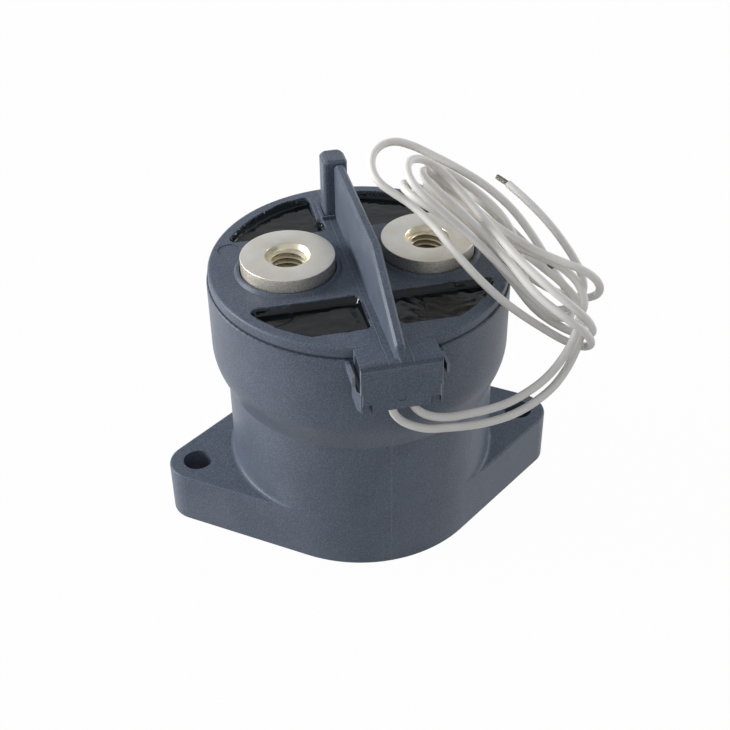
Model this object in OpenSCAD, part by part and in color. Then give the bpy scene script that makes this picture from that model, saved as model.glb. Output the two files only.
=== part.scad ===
// Sealed high voltage DC contactor with two screw terminals and two flying coil leads.
// Millimetres, +Z up. The origin is the centre of the base face, midway between the mounting holes.

/* [Housing] */
// Radius of the lower body
base_r = 29.5; // [28.5:0.1:31]
// How far the upper body stands out past the lower body
flare = 2.9; // [2:0.1:4]
// Height of the housing's top edge
body_h = 58.5; // [55:0.5:64]
// Wall thickness of the housing
wall = 2.6; // [2:0.1:2.8]
// Floor thickness of the housing
floor_t = 3; // [2:0.1:5]
// Height at which the shoulder starts
shoulder_z = 33.4; // [30:0.1:37]
// Slope of the shoulder, measured from vertical
shoulder_angle = 22; // [16:1:30]
// Blend radius between the shoulder and the upper wall
shoulder_round = 13; // [4:0.5:14]
// Rounding of the housing's top edge
rim_edge = 0.5; // [0.2:0.1:1]

/* [Flange] */
// Distance between the two mounting holes
hole_spacing = 77; // [74:0.5:82]
// Diameter of a mounting hole
hole_d = 6.5; // [5:0.1:7]
// Radius of a flange ear
ear_r = 6.4; // [5.5:0.1:8]
// Thickness of the flange
flange_t = 12.6; // [8:0.1:16]
// Rounding of the flange's top edge
flange_edge = 0.5; // [0.2:0.1:1]
// Fillet between the flange and the body
flange_fillet = 1; // [0.4:0.1:2]

/* [Cover] */
// How far the cover stands in from the upper body
cover_inset = 0.4; // [0.1:0.05:0.8]
// Thickness of the cover plate
cover_t = 2.5; // [2:0.1:3.5]
// Rounding of the cover's top edge
cover_edge = 0.7; // [0.2:0.1:1.2]
// Depth of the ring that centres the cover in the housing
spigot_h = 2; // [1:0.1:2.5]
// Wall thickness of the centring ring
spigot_t = 1.5; // [1:0.1:2]
// Width of the cover's rim outside the windows
window_rim = 2.6; // [2.2:0.1:3.4]
// Distance from the middle line to the near edge of each window
window_near = 13.15; // [12.4:0.05:15]
// Distance from the middle line to the far edge of the front windows
window_far = 25.2; // [22:0.1:26]
// Half the width of the strip between the front windows
front_strip = 3; // [2.6:0.1:4]
// Half the width of the strip beside the post
rear_strip = 5.2; // [4.6:0.1:6]
// Half the width of the strip ahead of the post
rear_neck = 4; // [3:0.1:4.6]
// Corner radius of the windows
window_corner = 1.3; // [0.5:0.1:2]
// Height of the potting below the cover's top
potting_drop = 1.8; // [1.2:0.1:2.3]

/* [Barrier] */
// Thickness of the barrier fin
fin_t = 2.2; // [1.8:0.1:2.6]
// Height of the fin above the cover
fin_h = 13.2; // [10:0.1:16]
// Distance of the fin's knee ahead of the centre
fin_knee = 16; // [10:0.5:22]
// Height of the fin's nose above the cover
fin_nose = 2.9; // [2:0.1:7]
// Bevel of the fin's edges
fin_edge = 0.55; // [0.2:0.05:0.7]
// Length of the taper at the front end of the fin
fin_taper = 1.7; // [1:0.1:2.4]
// Cut across the upper end of the fin, beside the post
fin_heel = 0.9; // [0.4:0.1:1.4]
// Left side of the post
post_left = 3.4; // [2.8:0.1:3.6]
// Right side of the post
post_right = 2; // [1.6:0.1:3]
// Front face of the post
post_front = 18.4; // [17.4:0.1:19.2]
// Depth of the post
post_d = 6; // [4:0.1:7]
// Height of the post above the cover
post_h = 13.8; // [10:0.1:17]
// Height of the frame round the foot of the post
collar_h = 0.8; // [0.4:0.1:1.2]
// Width of the frame round the foot of the post
collar_w = 0.8; // [0.5:0.1:1]

/* [Wire hood] */
// How far the hood stands out from the upper body
hood_reach = 5.2; // [4.8:0.1:7]
// Half the width of the hood
hood_half = 8.2; // [7.5:0.1:8.3]
// Half the width of the hood's foot
foot_half = 8.7; // [8.4:0.1:9.4]
// Height of the hood's foot
foot_h = 4.6; // [3:0.1:5.4]
// Depth of the hood below the cover's top
hood_drop = 11.2; // [9:0.1:12]
// Wall thickness of the hood
hood_wall = 1.5; // [1.2:0.1:1.8]
// Rounding of the hood's top front edge
hood_edge = 1.2; // [0.3:0.1:1.4]
// Side of the small recess in each lower corner of the hood
tab_recess = 1.7; // [1:0.1:2]
// Thickness of the cheeks beside the hood
cheek_t = 0.65; // [0.5:0.05:1]
// Height of the cheeks
cheek_h = 2.2; // [1.5:0.1:3]
// Gap between the hood and each cheek
cheek_gap = 0.85; // [0.3:0.05:1]
// How far the cheeks stand back from the hood's front face
cheek_back = 0.8; // [0.4:0.1:2]
// Radius of the moulding mark on the hood's front face
gate_r = 0.8; // [0.5:0.1:1.2]

/* [Terminals] */
// Distance of a terminal's centre from the lower body's side
terminal_edge = 14.35; // [13.5:0.05:15.5]
// Radius of a terminal's disc
terminal_r = 10; // [9:0.1:10.4]
// Height of the discs above the cover
terminal_stand = 3.45; // [2.5:0.05:5]
// Height of a terminal's disc
terminal_h = 7; // [6:0.1:8]
// Radius of a terminal's neck
neck_r = 6; // [5.5:0.1:6.4]
// Diameter of the tapped hole
tap_d = 6.8; // [6:0.1:8]
// Depth of the tapped hole
tap_depth = 11.5; // [9:0.1:12.5]
// Diameter of the countersink at the tapped hole's mouth
mouth_d = 9.3; // [8.4:0.1:10]
// Width of the ring boss round a disc
boss_w = 1.15; // [0.9:0.05:1.5]
// Height of the ring boss
boss_h = 0.55; // [0.3:0.05:1]

/* [Contacts] */
// Radius of the fixed contact tips
tip_r = 3.8; // [3:0.1:4.6]
// Thickness of the fixed contact tips
tip_t = 1; // [0.6:0.1:1.4]
// Radius of the moving contact tips
button_r = 3.4; // [2.6:0.1:4]
// Thickness of the moving contact tips
button_t = 0.8; // [0.5:0.1:1.2]
// Gap between open contacts
contact_gap = 1.4; // [1:0.1:2]
// Travel of the plunger after the contacts touch
over_travel = 0.6; // [0.3:0.1:1]
// Thickness of the bridge bar
bridge_t = 2.6; // [2:0.1:3.2]
// Width of the bridge bar
bridge_w = 9; // [8.2:0.1:11]

/* [Arc chamber] */
// Height of the ceramic chamber
chamber_h = 18.5; // [17.5:0.1:20]
// Half the width of the ceramic chamber
chamber_r = 12.5; // [12:0.1:13.5]
// Wall thickness of the ceramic chamber
chamber_wall = 2.8; // [2:0.1:3]
// Thickness of the ceramic roof
roof_t = 3; // [2:0.1:3.5]
// Depth of a terminal's neck below the ceramic roof
neck_drop = 3.9; // [3.4:0.1:4.4]
// Height of a terminal's seal ring
seal_h = 2; // [1.4:0.1:2.6]
// Width of a terminal's seal ring
seal_w = 1.4; // [1:0.1:2]
// Thickness of the weld frame under the chamber
frame_t = 1.5; // [1:0.1:2]
// Thickness of a blowout magnet
magnet_t = 4; // [2.5:0.1:5]
// Length of a blowout magnet
magnet_l = 18; // [12:0.5:22]
// Height of a blowout magnet
magnet_h = 12; // [8:0.5:14]
// Radius of the exhaust tube
tube_r = 1.6; // [1.2:0.1:2]

/* [Coil and plunger] */
// Space between the yoke cup and the housing
cup_space = 0.9; // [0.4:0.1:2]
// Wall thickness of the yoke cup
cup_wall = 2; // [1.4:0.1:2.6]
// Thickness of the yoke plate
plate_t = 3.5; // [2.5:0.1:4.5]
// Outer radius of the plunger's guide sleeve
sleeve_r = 9.2; // [8.4:0.1:10]
// Wall thickness of the guide sleeve
sleeve_t = 0.5; // [0.4:0.05:0.8]
// Length of the fixed pole piece below the yoke plate
pole_l = 10; // [8:0.1:12]
// Wall thickness of the bobbin
bobbin_t = 1.2; // [0.8:0.1:1.6]
// Space between the winding and the yoke cup
winding_space = 2; // [1:0.1:3]
// Radius of the shaft in the plunger
shaft_r = 2.5; // [2.2:0.1:2.8]
// Radius of the shaft's upper end
spindle_r = 2; // [1.6:0.1:2.1]
// Radius of the contact spring's seat
seat_r = 4.8; // [4.4:0.1:5.4]
// Thickness of the contact spring's seat
seat_t = 1; // [0.7:0.1:1.4]
// Thickness of the retaining clip
clip_t = 0.7; // [0.5:0.05:1]
// Wire diameter of the return spring
return_wire = 0.7; // [0.5:0.05:0.9]
// Wire diameter of the contact spring
contact_wire = 0.9; // [0.6:0.05:1]

/* [Leads] */
// Diameter of a lead
lead_d = 1.7; // [1.6:0.1:2.2]
// Diameter of a lead's bare conductor
strand_d = 1.2; // [0.8:0.1:1.4]
// Length of the hank over its round ends
hank_l = 54; // [50:0.5:56]
// Width of the hank
hank_w = 19; // [17:0.5:19.5]
// Thickness of the hank
hank_t = 8.5; // [7:0.1:8.8]

/* [Hidden] */
$fn = 96;

// Clearances
fit_gap = 0.15;
slide_gap = 0.06;
seat_gap = 0.05;
terminal_gap = 0.25;
spring_gap = 0.7;
overlap = 1;

// Radii that follow from the lower body
top_r = base_r + flare;
cover_r = top_r - cover_inset;
window_r = cover_r - window_rim;
cup_r = base_r - wall - cup_space;

// Levels from the top down to the coil, and from the floor up to it
cover_top = body_h + cover_t;
terminal_top = cover_top + terminal_stand;
head_z = terminal_top - terminal_h;
chamber_top = head_z - seal_h;
roof_z = chamber_top - roof_t;
chamber_z = chamber_top - chamber_h;
plate_top = chamber_z - frame_t;
plate_z = plate_top - plate_t;
cup_floor = floor_t + cup_wall;
sleeve_floor = cup_floor + sleeve_t;
potting_top = cover_top - potting_drop;

// Contact levels with the plunger down
neck_z = roof_z - neck_drop;
tip_z = neck_z - tip_t;
button_top = tip_z - contact_gap;
bridge_top = button_top - button_t;
bridge_z = bridge_top - bridge_t;
travel = contact_gap + over_travel;
seat_rise = 1.2;
seat_z = plate_top + seat_rise;
seat_top = seat_z + seat_t;
clip_z = bridge_top + seat_gap;
spindle_end = 1;
shaft_top = clip_z + clip_t + spindle_end;

// Plunger levels with the plunger down
pole_z = plate_z - pole_l;
plunger_z = sleeve_floor + seat_gap;
plunger_top = pole_z - travel - 2 * seat_gap;
spring_bed = 4;
return_z = plunger_top - spring_bed;
return_top = pole_z + spring_bed;

// Flange outline
ear_x = hole_spacing / 2;
tangent_a = acos((base_r - ear_r) / ear_x);
tangent_l = ear_x * sin(tangent_a);
edge_depth = 2 * flange_edge + overlap;

// Terminal and chamber places
terminal_x = base_r - terminal_edge;
chamber_margin = 3.35;
chamber_end = terminal_x + neck_r + chamber_margin;
chamber_centre = chamber_end - chamber_r;
tube_y = 0.58 * chamber_r;
bore_r = terminal_r + terminal_gap;
boss_r = bore_r + boss_w;
bridge_margin = 0.6;

// Hood, cheeks and the wire notch behind the hood
hood_z = cover_top - hood_drop;
hood_front = top_r + hood_reach;
hood_back = top_r - wall / 2;
foot_cut_x = 0.85;
foot_cut_y = 1.5;
channel_half = hood_half - hood_wall;
channel_front = hood_front - hood_wall;
cheek_in = hood_half + cheek_gap;
cheek_front = hood_front - cheek_back;
notch_half = 5;
notch_depth = 5.5;
notch_inset = 1.4;
notch_z = body_h - notch_depth;
notch_face = top_r - notch_inset;
spigot_r = top_r - wall - fit_gap;

// Moulding marks
gate_rise = 2.6;
mark_depth = 0.15;
mark_r = 2.5;
mark_place = [-26.2, 10.2];

// Sleeve, springs and shaft radii
sleeve_in = sleeve_r - sleeve_t;
plunger_r = sleeve_in - slide_gap;
bed_r = shaft_r + 2 * spring_gap + return_wire;
return_r = shaft_r + spring_gap + return_wire / 2;
contact_r = spindle_r + spring_gap + contact_wire / 2;
pole_neck_wall = 2.4;
pole_neck_r = shaft_r + pole_neck_wall;
bobbin_gap = 0.2;
winding_in = sleeve_r + bobbin_gap + bobbin_t;
bobbin_r = cup_r - cup_wall - 2 * bobbin_gap;
clip_groove = 0.4;
clip_w = 1.6;
groove_r = spindle_r - clip_groove;
spring_sides = 6;
spring_steps = 16;

// Front of the hood beside the right terminal's outer edge, from which the leads are placed
lead_place = [terminal_x + terminal_r, -hood_front, terminal_top];

// Routes of the free leads, from the potting down through the hood and round to the hank
left_route = [[-26.6, 6.3, -9.4], [-26.6, 5.1, -9.7], [-26.6, 3.8, -10.6], [-26.6, 2.9, -11.9],
    [-26.6, 2.6, -13.4], [-26.6, 2.6, -15.4], [-26.1, 2.3, -17.6], [-24.6, 1.8, -19.4],
    [-22.6, 1.1, -20.4], [-20.1, 0.6, -21.2], [-15.6, 0, -21.4], [-11.1, -0.4, -21.4],
    [-6.6, -0.4, -21.2], [-1.6, 0, -20.4], [3.4, 0.8, -18.4], [6.9, 2, -16.6], [9.4, 3.4, -14.8],
    [11.4, 4.8, -12.8], [13.4, 6.8, -10.4], [14.9, 9.1, -8.4]];
right_route = [[-22.4, 6.3, -9.4], [-22.4, 5.1, -9.7], [-22.4, 3.8, -10.6], [-22.4, 2.9, -11.9],
    [-22.4, 2.6, -13.4], [-22.4, 2.6, -15.2], [-21.8, 2.4, -16.9], [-20.4, 2, -18.3],
    [-18.1, 1.4, -19.2], [-15.1, 0.7, -19.3], [-11.6, 0.3, -18.9], [-8.1, 0.1, -18.5],
    [-3.1, 0.3, -17.6], [0.9, 0.9, -16.2], [4.4, 1.8, -14.6], [7.1, 2.8, -12.8], [9.5, 4.1, -10.8],
    [11.5, 5.6, -8.8], [13.1, 7.4, -6.9], [14.4, 9.6, -5.4]];
tail_route = [[18.4, 20.1, -3.4], [17.9, 24.1, -1.4], [16.7, 28.1, 0.6], [14.9, 34.1, 2.6],
    [12.3, 40.1, 4.6], [10.1, 45.1, 5.8]];
strand_route = [[10, 45.3, 5.8], [8.4, 48.3, 6.2]];
lead_sides = 8;

// Place and lean of the hank, which rests across the right terminal and the cover's rim
hank_seat = [-1.4, 26.1, 1.3];
hank_lean = [-12, 31, -36];

// Colours
slate = [0.34, 0.37, 0.42];
steel = [0.62, 0.63, 0.65];
copper = [0.72, 0.45, 0.3];
silver = [0.8, 0.79, 0.74];
nickel = [0.74, 0.72, 0.66];
ivory = [0.86, 0.85, 0.82];

// Vector helpers for swept tubes
function unit(v) = v / norm(v);
function flat(v, t) = unit(v - (v * t) * t);
function along(p, i) = unit(p[min(i + 1, len(p) - 1)] - p[max(i - 1, 0)]);
function sides(p, first) = [for (i = 0, n = flat(first, along(p, 0)); i < len(p);
    i = i + 1, n = flat(n, along(p, min(i, len(p) - 1)))) n];
function helix(r, z0, z1, turns, steps) = [for (i = [0 : turns * steps])
    [r * cos(360 * i / steps), r * sin(360 * i / steps), z0 + (z1 - z0) * i / (turns * steps)]];

// Tube of radius r with m sides along the points p
module sweep(p, r, m, first = [0, 0, 1]) {
    n = sides(p, first);
    last = len(p) - 1;
    rings = [for (i = [0 : last], k = [0 : m - 1])
        p[i] + r * (cos(360 * k / m) * n[i] + sin(360 * k / m) * cross(along(p, i), n[i]))];
    skin = [for (i = [0 : last - 1], k = [0 : m - 1], half = [0, 1])
        let (a = i * m + k, b = i * m + (k + 1) % m)
        half == 0 ? [a, a + m, b + m] : [a, b + m, b]];
    start = [[for (k = [0 : m - 1]) k]];
    end = [[for (k = [m - 1 : -1 : 0]) last * m + k]];
    polyhedron(points = rings, faces = concat(start, skin, end));
}

// Rectangle from the origin with its far top corner rounded
module edge_profile(w, h, r) {
    square([w - r, h]);
    square([w, h - r]);
    translate([w - r, h - r]) circle(r);
}

// Oblong with round ends, l between the centres of the ends
module oblong(l, r) {
    square([l, 2 * r], center = true);
    for (s = [-1, 1]) translate([s * l / 2, 0]) circle(r);
}

// Tube standing on z0
module ring(r_out, r_in, z0, z1) {
    difference() {
        translate([0, 0, z0]) cylinder(r = r_out, h = z1 - z0);
        translate([0, 0, z0 - overlap]) cylinder(r = r_in, h = z1 - z0 + 2 * overlap);
    }
}

// Both terminal places
module at_terminals() {
    for (s = [-1, 1]) translate([s * terminal_x, 0, 0]) children();
}

// Half section of the body between two heights, drawn inwards by inset
module body_section(inset, z0, z1) {
    corner_z = shoulder_z + (top_r - base_r) / tan(shoulder_angle);
    reach = shoulder_round * tan(shoulder_angle / 2);
    on_cone = [top_r - reach * sin(shoulder_angle), corner_z - reach * cos(shoulder_angle)];
    intersection() {
        translate([0, z0]) square([top_r, z1 - z0]);
        translate([-inset, 0]) difference() {
            polygon([[0, -overlap], [base_r, -overlap], [base_r, shoulder_z], [top_r, corner_z],
                [top_r, body_h + overlap], [0, body_h + overlap]]);
            difference() {
                polygon([on_cone, [top_r + overlap, corner_z - overlap],
                    [top_r + overlap, corner_z + reach], [top_r, corner_z + reach]]);
                translate([top_r - shoulder_round, corner_z + reach])
                    circle(shoulder_round, $fn = 200);
            }
        }
    }
}

module flange_plan() {
    circle(base_r);
    for (s = [-1, 1]) translate([s * ear_x, 0]) circle(ear_r);
    flange_web(0);
}

// Straight sided part of the flange, drawn inwards by inset
module flange_web(inset) {
    inner = (base_r - inset) * [cos(tangent_a), sin(tangent_a)];
    outer = [ear_x, 0] + (ear_r - inset) * [cos(tangent_a), sin(tangent_a)];
    polygon([inner, outer, [outer.x, -outer.y], [inner.x, -inner.y],
        -inner, -outer, [-outer.x, outer.y], [-inner.x, inner.y]]);
}

module flange() {
    linear_extrude(flange_t) flange_web(edge_depth / 2);
    for (s = [-1, 1]) translate([s * ear_x, 0, 0])
        rotate_extrude() edge_profile(ear_r, flange_t, flange_edge);
    for (sx = [0, 1], sy = [0, 1]) mirror([sx, 0, 0]) mirror([0, sy, 0])
        translate([base_r * cos(tangent_a), base_r * sin(tangent_a), 0])
            rotate([0, 0, tangent_a]) rotate([90, 0, 0]) linear_extrude(tangent_l)
                translate([-edge_depth, 0]) edge_profile(edge_depth, flange_t, flange_edge);
    intersection() {
        linear_extrude(flange_t + flange_fillet) flange_plan();
        rotate_extrude() difference() {
            translate([base_r - wall / 2, 0])
                square([wall / 2 + flange_fillet, flange_t + flange_fillet]);
            translate([base_r + flange_fillet, flange_t + flange_fillet]) circle(flange_fillet);
        }
    }
}

module housing() {
    color(slate) difference() {
        union() {
            rotate_extrude() intersection() {
                body_section(0, 0, body_h);
                edge_profile(top_r, body_h, rim_edge);
            }
            flange();
            for (s = [0, 1]) mirror([s, 0, 0])
                translate([cheek_in, -cheek_front, body_h - cheek_h])
                    cube([cheek_t, cheek_front - hood_back + wall, cheek_h]);
        }
        rotate_extrude() body_section(wall, floor_t, body_h + overlap / 2);
        for (s = [-1, 1]) translate([s * ear_x, 0, -overlap])
            cylinder(d = hole_d, h = flange_t + 2 * overlap);
        translate([-notch_half, -top_r - overlap, notch_z])
            cube([2 * notch_half, 2 * wall + overlap, body_h]);
    }
}

// Plan of the front window on the right
module front_window() {
    offset(r = window_corner) offset(delta = -window_corner) intersection() {
        circle(window_r, $fn = 180);
        translate([front_strip, -window_far]) square([window_r, window_far - window_near]);
    }
}

// Plan of the rear window on the right, stepped round the post's foot
module rear_window() {
    offset(r = window_corner) offset(delta = -window_corner) intersection() {
        circle(window_r, $fn = 180);
        union() {
            translate([rear_strip, window_near]) square(window_r);
            translate([rear_neck, window_near]) square([window_r, post_front - window_near]);
        }
    }
}

// All four windows, drawn inwards by inset
module window_plan(inset) {
    for (s = [0, 1]) mirror([s, 0]) offset(delta = -inset) {
        front_window();
        rear_window();
    }
}

module fin() {
    module side(t, drop) {
        rotate([90, 0, 90]) linear_extrude(t, center = true) polygon([
            [post_front + overlap, -overlap], [post_front + overlap, fin_h - fin_heel - drop],
            [post_front - fin_heel, fin_h - drop], [-fin_knee, fin_h - drop],
            [-hood_front + fin_taper, fin_nose - drop], [-hood_front + fin_taper, -overlap]]);
    }
    translate([0, 0, cover_top]) hull() {
        side(fin_t, fin_edge);
        side(fin_t - 2 * fin_edge, 0);
        translate([-fin_edge / 4, -hood_front + hood_edge / 4, -hood_edge])
            cube([fin_edge / 2, fin_taper, hood_edge]);
    }
}

module post() {
    back_r = 1.7;
    front_r = 0.9;
    top_edge = 0.6;
    back = post_front + post_d - back_r;
    module corners(shrink, h) {
        for (x = [-post_left + back_r, post_right - back_r])
            translate([x, back, 0]) cylinder(r = back_r - shrink, h = h, $fn = 32);
        for (x = [-post_left + front_r, post_right - front_r])
            translate([x, post_front + front_r, 0])
                cylinder(r = front_r - shrink, h = h, $fn = 32);
    }
    translate([0, 0, cover_top - overlap]) hull() {
        corners(0, post_h + overlap - top_edge);
        corners(top_edge, post_h + overlap);
    }
    translate([-post_left - fit_gap - collar_w, post_front - collar_w, cover_top - overlap])
        cube([collar_w, post_d + 2 * collar_w, collar_h + overlap]);
    translate([-post_left - fit_gap - collar_w, post_front - collar_w, cover_top - overlap])
        cube([post_left + fit_gap + collar_w, collar_w - fit_gap, collar_h + overlap]);
}

module hood() {
    difference() {
        union() {
            rotate([90, 0, 90]) linear_extrude(2 * hood_half, center = true) mirror([1, 0])
                translate([hood_back, hood_z])
                    edge_profile(hood_front - hood_back, hood_drop, hood_edge);
            translate([0, 0, hood_z]) linear_extrude(foot_h) polygon([
                [-foot_half, -hood_back], [-foot_half, foot_cut_y - hood_front],
                [foot_cut_x - foot_half, -hood_front], [foot_half - foot_cut_x, -hood_front],
                [foot_half, foot_cut_y - hood_front], [foot_half, -hood_back]]);
        }
        for (s = [0, 1]) mirror([s, 0, 0])
            translate([foot_half - foot_cut_x - tab_recess, -hood_front - overlap, hood_z - overlap])
                cube([tab_recess, overlap + hood_wall / 2, tab_recess + overlap]);
        cylinder(r = top_r + fit_gap, h = body_h);
        translate([0, mark_depth - hood_front, hood_z + gate_rise]) rotate([90, 0, 0])
            cylinder(r = gate_r, h = overlap, $fn = 32);
    }
}

module top_cover() {
    color(slate) difference() {
        union() {
            translate([0, 0, body_h]) rotate_extrude() edge_profile(cover_r, cover_t, cover_edge);
            ring(spigot_r, spigot_r - spigot_t, body_h - spigot_h, body_h + overlap);
            at_terminals() translate([0, 0, cover_top])
                cylinder(r1 = boss_r, r2 = boss_r - boss_h, h = boss_h);
            fin();
            post();
            hood();
        }
        at_terminals() translate([0, 0, body_h - spigot_h - overlap])
            cylinder(r = bore_r, h = cover_t + spigot_h + boss_h + 2 * overlap);
        translate([0, 0, body_h - spigot_h - overlap])
            linear_extrude(spigot_h + cover_t + 2 * overlap) window_plan(0);
        translate([-channel_half, -channel_front, hood_z - overlap])
            cube([2 * channel_half, channel_front - top_r + 2 * wall, body_h - hood_z + overlap]);
        translate([mark_place.x, mark_place.y, cover_top - mark_depth])
            cylinder(r = mark_r, h = overlap, $fn = 48);
    }
}

module potting_compound() {
    neck_hole_r = neck_r + seal_w + seat_gap;
    color([0.05, 0.05, 0.06]) difference() {
        union() {
            rotate_extrude()
                body_section(wall + seat_gap, plate_top + seat_gap, body_h - spigot_h - seat_gap);
            translate([0, 0, body_h - spigot_h - overlap])
                cylinder(r = spigot_r - spigot_t - seat_gap, h = spigot_h + overlap - seat_gap);
            translate([0, 0, body_h - spigot_h - overlap])
                linear_extrude(potting_top - body_h + spigot_h + overlap) window_plan(seat_gap);
            translate([seat_gap - notch_half, -notch_face, notch_z + seat_gap])
                cube([2 * (notch_half - seat_gap), wall + 2 * overlap,
                    notch_depth - spigot_h - 2 * seat_gap]);
        }
        translate([0, 0, plate_top]) linear_extrude(frame_t)
            oblong(2 * chamber_centre, chamber_r + overlap + seat_gap);
        translate([0, 0, plate_top]) linear_extrude(chamber_h + frame_t + seat_gap)
            oblong(2 * chamber_centre, chamber_r + seat_gap);
        for (s = [0, 1]) mirror([0, s, 0]) magnet(seat_gap);
        at_terminals() {
            translate([0, 0, plate_top]) cylinder(r = neck_hole_r, h = body_h - plate_top);
            translate([0, 0, head_z - seat_gap]) cylinder(r = bore_r, h = terminal_h);
        }
        translate([0, tube_y, plate_top])
            cylinder(r = tube_r + seat_gap, h = body_h - overlap - plate_top + seat_gap);
    }
}

// Turned terminal with a tapped hole and a countersunk mouth
module terminal() {
    edge = 0.4;
    sink = (mouth_d - tap_d) / 2;
    color(nickel) difference() {
        union() {
            translate([0, 0, head_z]) rotate_extrude() edge_profile(terminal_r, terminal_h, edge);
            translate([0, 0, neck_z]) cylinder(r = neck_r, h = head_z - neck_z + overlap);
        }
        translate([0, 0, terminal_top - tap_depth]) cylinder(d = tap_d, h = tap_depth + overlap);
        translate([0, 0, terminal_top - sink])
            cylinder(d1 = tap_d, d2 = mouth_d + 2 * sink, h = 2 * sink);
    }
}

module terminal_left() { translate([-terminal_x, 0, 0]) terminal(); }

module terminal_right() { translate([terminal_x, 0, 0]) terminal(); }

module terminal_seals() {
    color(steel) at_terminals() ring(neck_r + seal_w, neck_r + seat_gap, chamber_top, head_z);
}

module fixed_contact_tips() {
    color(silver) at_terminals() translate([0, 0, tip_z]) cylinder(r = tip_r, h = tip_t);
}

module arc_chamber() {
    color([0.9, 0.89, 0.85]) difference() {
        translate([0, 0, chamber_z]) linear_extrude(chamber_h) oblong(2 * chamber_centre, chamber_r);
        translate([0, 0, chamber_z - overlap]) linear_extrude(chamber_h - roof_t + overlap)
            oblong(2 * chamber_centre, chamber_r - chamber_wall);
        at_terminals() translate([0, 0, chamber_z])
            cylinder(r = neck_r + seat_gap, h = chamber_h + overlap);
        translate([0, tube_y, chamber_z]) cylinder(r = tube_r + seat_gap, h = chamber_h + overlap);
    }
}

module chamber_frame() {
    color(steel) translate([0, 0, plate_top]) linear_extrude(frame_t) difference() {
        oblong(2 * chamber_centre, chamber_r + overlap);
        oblong(2 * chamber_centre, chamber_r - chamber_wall);
    }
}

// Copper tube through the chamber's roof, closed at its top
module exhaust_tube() {
    tube_top = body_h - overlap;
    color(copper) difference() {
        translate([0, tube_y, roof_z]) cylinder(r = tube_r, h = tube_top - roof_z);
        translate([0, tube_y, roof_z - overlap]) cylinder(r = tube_r / 2, h = tube_top - roof_z);
    }
}

// Blowout magnet against the chamber's rear side, grown by gap
module magnet(gap) {
    low = chamber_z + (chamber_h - magnet_h) / 2;
    translate([-magnet_l / 2 - gap, chamber_r + seat_gap - gap, low - gap])
        cube([magnet_l + 2 * gap, magnet_t + 2 * gap, magnet_h + 2 * gap]);
}

module blowout_magnets() {
    color([0.3, 0.3, 0.31]) for (s = [0, 1]) mirror([0, s, 0]) magnet(0);
}

module contact_bridge() {
    bridge_end = terminal_x + button_r + bridge_margin;
    color(copper) difference() {
        translate([0, 0, bridge_z]) linear_extrude(bridge_t)
            oblong(2 * bridge_end - bridge_w, bridge_w / 2);
        translate([0, 0, bridge_z - overlap])
            cylinder(r = spindle_r + slide_gap, h = bridge_t + 2 * overlap);
    }
}

module bridge_tips() {
    color(silver) at_terminals() translate([0, 0, bridge_top]) cylinder(r = button_r, h = button_t);
}

// Open ring snapped into the spindle's groove
module bridge_clip() {
    mouth = 0.8 * groove_r;
    color(steel) difference() {
        ring(spindle_r + clip_w, groove_r + slide_gap, clip_z, clip_z + clip_t);
        translate([0, -mouth, clip_z - overlap])
            cube([spindle_r + clip_w + overlap, 2 * mouth, clip_t + 2 * overlap]);
    }
}

// Round wire spring about the Z axis between two levels
module coil_spring(r, wire, z0, z1, turns) {
    path = helix(r, z0 + wire / 2, z1 - wire / 2, turns, spring_steps);
    sweep(path, wire / 2 - seat_gap / 2, spring_sides);
}

module contact_spring() {
    turns = 3;
    color(steel)
        coil_spring(contact_r, contact_wire, seat_top + seat_gap, bridge_z - seat_gap, turns);
}

module spring_seat() {
    color(steel) ring(seat_r, spindle_r + slide_gap, seat_z + seat_gap, seat_top);
}

module plunger_shaft() {
    color(steel) rotate_extrude() polygon([[0, plunger_z], [shaft_r, plunger_z], [shaft_r, seat_z],
        [spindle_r, seat_z], [spindle_r, clip_z - seat_gap / 2], [groove_r, clip_z - seat_gap / 2],
        [groove_r, clip_z + clip_t + seat_gap], [spindle_r, clip_z + clip_t + seat_gap],
        [spindle_r, shaft_top], [0, shaft_top]]);
}

module plunger() {
    color(steel) difference() {
        ring(plunger_r, shaft_r + slide_gap / 2, plunger_z, plunger_top);
        translate([0, 0, return_z]) cylinder(r = bed_r, h = spring_bed + overlap);
    }
}

module return_spring() {
    turns = 5;
    color(steel)
        coil_spring(return_r, return_wire, return_z + seat_gap, return_top - seat_gap, turns);
}

module pole_piece() {
    color(steel) difference() {
        union() {
            translate([0, 0, pole_z]) cylinder(r = sleeve_in - slide_gap, h = pole_l);
            translate([0, 0, plate_z - overlap]) cylinder(r = pole_neck_r, h = plate_t + overlap);
        }
        translate([0, 0, pole_z - overlap])
            cylinder(r = shaft_r + slide_gap, h = pole_l + plate_t + 2 * overlap);
        translate([0, 0, pole_z - overlap]) cylinder(r = bed_r, h = spring_bed + overlap);
    }
}

module yoke_plate() {
    color(steel) ring(cup_r, pole_neck_r + seat_gap, plate_z, plate_top);
}

module yoke_cup() {
    color(steel) difference() {
        translate([0, 0, floor_t]) cylinder(r = cup_r, h = plate_z - floor_t);
        translate([0, 0, cup_floor])
            cylinder(r = cup_r - cup_wall, h = plate_z - cup_floor + overlap);
    }
}

// Thin can that guides the plunger
module guide_sleeve() {
    color(nickel) difference() {
        translate([0, 0, cup_floor]) cylinder(r = sleeve_r, h = plate_z - cup_floor);
        translate([0, 0, sleeve_floor])
            cylinder(r = sleeve_in, h = plate_z - sleeve_floor + overlap);
    }
}

module coil_bobbin() {
    low = cup_floor + seat_gap;
    high = plate_z - seat_gap;
    color([0.2, 0.2, 0.21]) {
        ring(winding_in, winding_in - bobbin_t, low, high);
        ring(bobbin_r, winding_in - bobbin_t, low, low + bobbin_t);
        ring(bobbin_r, winding_in - bobbin_t, high - bobbin_t, high);
    }
}

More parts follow.
